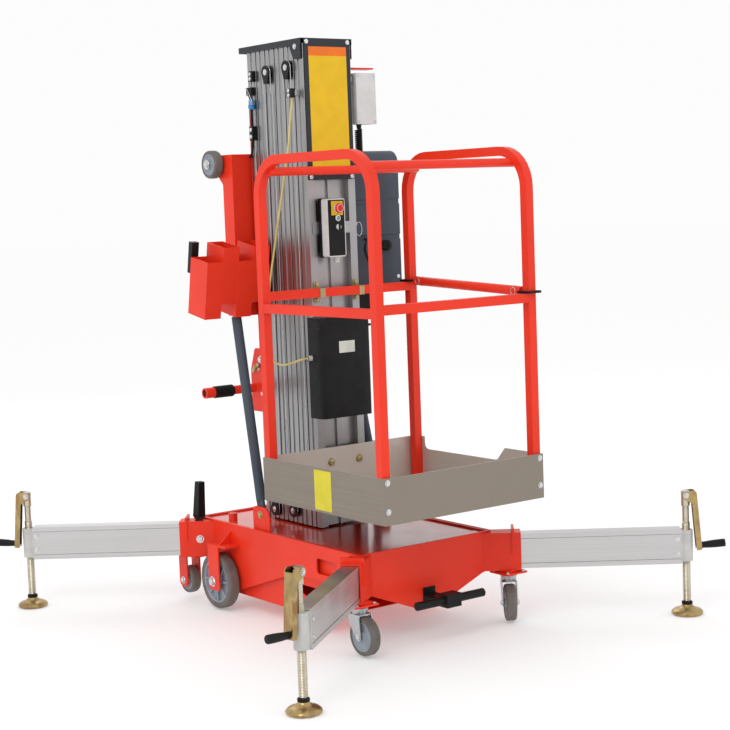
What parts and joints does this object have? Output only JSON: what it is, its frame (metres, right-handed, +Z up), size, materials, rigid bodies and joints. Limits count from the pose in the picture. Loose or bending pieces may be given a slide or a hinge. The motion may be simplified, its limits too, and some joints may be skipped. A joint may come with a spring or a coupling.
{
  "type": "vertical mast lift",
  "caption": "Push-around one-person lift: red wheeled chassis, outriggers with screw jacks, nested aluminium mast, railed platform.",
  "frame": {"origin": "on the floor, midway between the four jack pads", "axes": "+X to the platform side, +Y to the machine's left, +Z up"},
  "size_m": [1.9328, 1.8416, 1.99],
  "materials": {
    "red_paint": "gloss",
    "aluminium": "satin",
    "black_plastic": "matte",
    "dark_grey_paint": "satin",
    "blue_grey_paint": "satin",
    "white_plastic": "satin",
    "grey_rubber": "matte",
    "zinc": "satin",
    "stainless": "satin",
    "cable_sheath": "satin"
  },
  "bodies": {
    "base": {"chassis_frame": "red_paint", "mast_section_1": "aluminium", "cable_anchor_1": "black_plastic", "rear_column": "red_paint", "pocket_bank": "red_paint", "stowage_lever": "black_plastic", "lock_lever": "black_plastic", "strut_right": "blue_grey_paint", "strut_left": "blue_grey_paint", "push_handle_right": "red_paint", "push_handle_left": "red_paint", "handle_grip_right": "black_plastic", "handle_grip_left": "black_plastic", "power_cover": "blue_grey_paint", "power_block": "black_plastic", "lift_handle": "black_plastic"},
    "stage_2": {"mast_section_2": "aluminium", "sheave_2": "black_plastic"},
    "stage_3": {"mast_section_3": "aluminium", "sheave_3": "black_plastic"},
    "stage_4": {"mast_section_4": "aluminium", "sheave_4": "black_plastic"},
    "stage_5": {"mast_section_5": "aluminium", "sheave_5": "black_plastic"},
    "carriage": {"mast_section_6": "aluminium", "cable_anchor_6": "black_plastic", "top_cap": "dark_grey_paint", "sign_plate": "dark_grey_paint", "control_box": "white_plastic", "document_box": "black_plastic", "electrical_box": "white_plastic", "platform_tray": "stainless", "guard_rail": "red_paint", "rail_clamp_right": "zinc", "rail_clamp_left": "zinc", "control_cable": "cable_sheath"},
    "gate": {"gate_bar": "red_paint"},
    "big_wheel_right": {"big_wheel_right": "grey_rubber"},
    "tip_wheel_right": {"tip_wheel_right": "grey_rubber"},
    "loading_wheel_right": {"loading_wheel_right": "grey_rubber"},
    "caster_fork_right": {"caster_fork_right": "zinc"},
    "caster_wheel_right": {"caster_wheel_right": "grey_rubber"},
    "big_wheel_left": {"big_wheel_left": "grey_rubber"},
    "tip_wheel_left": {"tip_wheel_left": "grey_rubber"},
    "loading_wheel_left": {"loading_wheel_left": "grey_rubber"},
    "caster_fork_left": {"caster_fork_left": "zinc"},
    "caster_wheel_left": {"caster_wheel_left": "grey_rubber"},
    "outrigger_front_right": {"outrigger_front_right": "aluminium"},
    "jack_front_right": {"jack_screw_front_right": "zinc"},
    "crank_front_right": {"crank_front_right": "zinc"},
    "outrigger_front_left": {"outrigger_front_left": "aluminium"},
    "jack_front_left": {"jack_screw_front_left": "zinc"},
    "crank_front_left": {"crank_front_left": "zinc"},
    "outrigger_rear_right": {"outrigger_rear_right": "aluminium"},
    "jack_rear_right": {"jack_screw_rear_right": "zinc"},
    "crank_rear_right": {"crank_rear_right": "zinc"},
    "outrigger_rear_left": {"outrigger_rear_left": "aluminium"},
    "jack_rear_left": {"jack_screw_rear_left": "zinc"},
    "crank_rear_left": {"crank_rear_left": "zinc"}
  },
  "joints": [
    {"name": "mast_1", "type": "slide", "parent": "base", "child": "stage_2", "axis": [0, 0, 1], "range_m": [0, 1.4]},
    {"name": "mast_2", "type": "slide", "parent": "stage_2", "child": "stage_3", "axis": [0, 0, 1], "range_m": [0, 1.4]},
    {"name": "mast_3", "type": "slide", "parent": "stage_3", "child": "stage_4", "axis": [0, 0, 1], "range_m": [0, 1.4]},
    {"name": "mast_4", "type": "slide", "parent": "stage_4", "child": "stage_5", "axis": [0, 0, 1], "range_m": [0, 1.4]},
    {"name": "mast_5", "type": "slide", "parent": "stage_5", "child": "carriage", "axis": [0, 0, 1], "range_m": [0, 1.4]},
    {"name": "gate", "type": "slide", "parent": "carriage", "child": "gate", "axis": [0, 0, 1], "range_m": [0, 0.25]},
    {"name": "big_wheel_right", "type": "hinge", "parent": "base", "child": "big_wheel_right", "pos_m": [-0.34, -0.31, 0.105], "axis": [0, 1, 0], "continuous": true},
    {"name": "tip_wheel_right", "type": "hinge", "parent": "base", "child": "tip_wheel_right", "pos_m": [-0.55, -0.31, 0.076], "axis": [0, 1, 0], "continuous": true},
    {"name": "loading_wheel_right", "type": "hinge", "parent": "base", "child": "loading_wheel_right", "pos_m": [-0.445, -0.1985, 1.583], "axis": [0, 1, 0], "continuous": true},
    {"name": "caster_swivel_right", "type": "hinge", "parent": "base", "child": "caster_fork_right", "pos_m": [0.505, -0.315, 0.163], "axis": [0, 0, 1], "continuous": true},
    {"name": "caster_roll_right", "type": "hinge", "parent": "caster_fork_right", "child": "caster_wheel_right", "pos_m": [0.531, -0.315, 0.0675], "axis": [0, 1, 0], "continuous": true},
    {"name": "big_wheel_left", "type": "hinge", "parent": "base", "child": "big_wheel_left", "pos_m": [-0.34, 0.31, 0.105], "axis": [0, 1, 0], "continuous": true},
    {"name": "tip_wheel_left", "type": "hinge", "parent": "base", "child": "tip_wheel_left", "pos_m": [-0.55, 0.31, 0.076], "axis": [0, 1, 0], "continuous": true},
    {"name": "loading_wheel_left", "type": "hinge", "parent": "base", "child": "loading_wheel_left", "pos_m": [-0.445, 0.1985, 1.583], "axis": [0, 1, 0], "continuous": true},
    {"name": "caster_swivel_left", "type": "hinge", "parent": "base", "child": "caster_fork_left", "pos_m": [0.505, 0.315, 0.163], "axis": [0, 0, 1], "continuous": true},
    {"name": "caster_roll_left", "type": "hinge", "parent": "caster_fork_left", "child": "caster_wheel_left", "pos_m": [0.5263, 0.30009, 0.0675], "axis": [0.5736, 0.8192, 0], "continuous": true},
    {"name": "outrigger_front_right", "type": "slide", "parent": "base", "child": "outrigger_front_right", "axis": [0.6293, -0.7771, 0], "range_m": [0, 0.1]},
    {"name": "jack_front_right", "type": "slide", "parent": "outrigger_front_right", "child": "jack_front_right", "axis": [0, 0, 1], "range_m": [-0.04, 0.12]},
    {"name": "crank_front_right", "type": "hinge", "parent": "jack_front_right", "child": "crank_front_right", "pos_m": [0.874, -0.79, 0.41], "axis": [-0.9816, -0.1908, 0], "range_deg": [0, 80]},
    {"name": "outrigger_front_left", "type": "slide", "parent": "base", "child": "outrigger_front_left", "axis": [0.6293, 0.7771, 0], "range_m": [0, 0.1]},
    {"name": "jack_front_left", "type": "slide", "parent": "outrigger_front_left", "child": "jack_front_left", "axis": [0, 0, 1], "range_m": [-0.04, 0.12]},
    {"name": "crank_front_left", "type": "hinge", "parent": "jack_front_left", "child": "crank_front_left", "pos_m": [0.874, 0.79, 0.41], "axis": [0.7771, -0.6293, 0], "range_deg": [0, 80]},
    {"name": "outrigger_rear_right", "type": "slide", "parent": "base", "child": "outrigger_rear_right", "axis": [-0.6293, -0.7771, 0], "range_m": [0, 0.1]},
    {"name": "jack_rear_right", "type": "slide", "parent": "outrigger_rear_right", "child": "jack_rear_right", "axis": [0, 0, 1], "range_m": [-0.04, 0.12]},
    {"name": "crank_rear_right", "type": "hinge", "parent": "jack_rear_right", "child": "crank_rear_right", "pos_m": [-0.874, -0.79, 0.41], "axis": [-0.7771, 0.6293, 0], "range_deg": [0, 80]},
    {"name": "outrigger_rear_left", "type": "slide", "parent": "base", "child": "outrigger_rear_left", "axis": [-0.6293, 0.7771, 0], "range_m": [0, 0.1]},
    {"name": "jack_rear_left", "type": "slide", "parent": "outrigger_rear_left", "child": "jack_rear_left", "axis": [0, 0, 1], "range_m": [-0.04, 0.12]},
    {"name": "crank_rear_left", "type": "hinge", "parent": "jack_rear_left", "child": "crank_rear_left", "pos_m": [-0.874, 0.79, 0.41], "axis": [0.9816, 0.1908, 0], "range_deg": [0, 80]}
  ],
  "couplings": [
    {"joint": "mast_2", "follows": "mast_1", "ratio": 1},
    {"joint": "mast_3", "follows": "mast_1", "ratio": 1},
    {"joint": "mast_4", "follows": "mast_1", "ratio": 1},
    {"joint": "mast_5", "follows": "mast_1", "ratio": 1}
  ]
}
